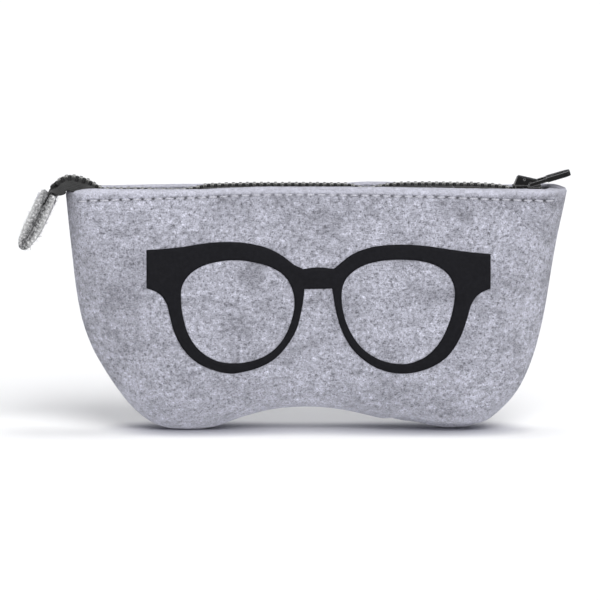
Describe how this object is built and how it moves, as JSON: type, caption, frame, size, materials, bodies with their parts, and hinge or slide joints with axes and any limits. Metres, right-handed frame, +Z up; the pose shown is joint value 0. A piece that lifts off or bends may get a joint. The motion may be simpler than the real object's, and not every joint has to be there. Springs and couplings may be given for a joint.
{
  "type": "eyeglasses case",
  "caption": "Soft felt pouch for a pair of glasses, closed along its top by a zip whose loose end runs out into a felt end tab.",
  "frame": {"origin": "on the floor plane, half way along the case between its two lobes, on the plane where the two felt halves meet", "axes": "+X along the zip towards its closed end, -Y towards the printed front, +Z up towards the zip"},
  "size_m": [0.2095, 0.0303, 0.0996],
  "materials": {
    "felt": "matte heather light-grey wool felt",
    "tab_felt": "matte light-grey wool felt, cut edges",
    "print_film": "matte black heat-transfer film",
    "zip_tape": "woven dark-grey polyester tape",
    "zip_teeth": "gunmetal moulded teeth",
    "slider_metal": "black lacquered zinc casting",
    "spring_steel": "plain spring steel",
    "thread": "light-grey polyester sewing thread"
  },
  "bodies": {
    "pouch": {"front_panel": "felt", "back_panel": "felt", "glasses_motif": "print_film", "front_zip_tape": "zip_tape", "back_zip_tape": "zip_tape", "front_tape_cord": "zip_tape", "back_tape_cord": "zip_tape", "front_zip_teeth": "zip_teeth", "back_zip_teeth": "zip_teeth", "front_top_stop": "zip_teeth", "back_top_stop": "zip_teeth", "front_hem_stitching": "thread", "back_hem_stitching": "thread", "seam_thread": "thread"},
    "slider": {"slider_body": "slider_metal", "slider_cap": "slider_metal"},
    "lock_pin": {"lock_pin": "spring_steel"},
    "pull_tab": {"pull_tab": "slider_metal"},
    "zip_tail": {"front_tape_tail": "zip_tape", "back_tape_tail": "zip_tape", "front_cord_tail": "zip_tape", "back_cord_tail": "zip_tape", "front_tail_teeth": "zip_teeth", "back_tail_teeth": "zip_teeth", "bottom_stop": "zip_teeth", "end_tab": "tab_felt", "tab_stitching": "thread"}
  },
  "joints": [
    {"name": "slider_travel", "type": "slide", "parent": "pouch", "child": "slider", "axis": [-1, 0, 0], "range_m": [0, 0.15], "deforming": ["front_zip_teeth", "back_zip_teeth", "front_top_stop", "back_top_stop", "front_zip_tape", "back_zip_tape", "front_tape_cord", "back_tape_cord"]},
    {"name": "pull_swing", "type": "hinge", "parent": "slider", "child": "pull_tab", "pos_m": [0.0814, 0, 0.09425], "axis": [0, -1, 0], "range_deg": [-14, 114]},
    {"name": "lock_pin_lift", "type": "slide", "parent": "slider", "child": "lock_pin", "axis": [0, 0, 1], "range_m": [0, 0.0006], "stiffness_N_per_m": 6},
    {"name": "zip_tail_swing", "type": "hinge", "parent": "pouch", "child": "zip_tail", "pos_m": [-0.09065, 0, 0.09595], "axis": [0, 1, 0], "range_deg": [-6, 45]}
  ]
}
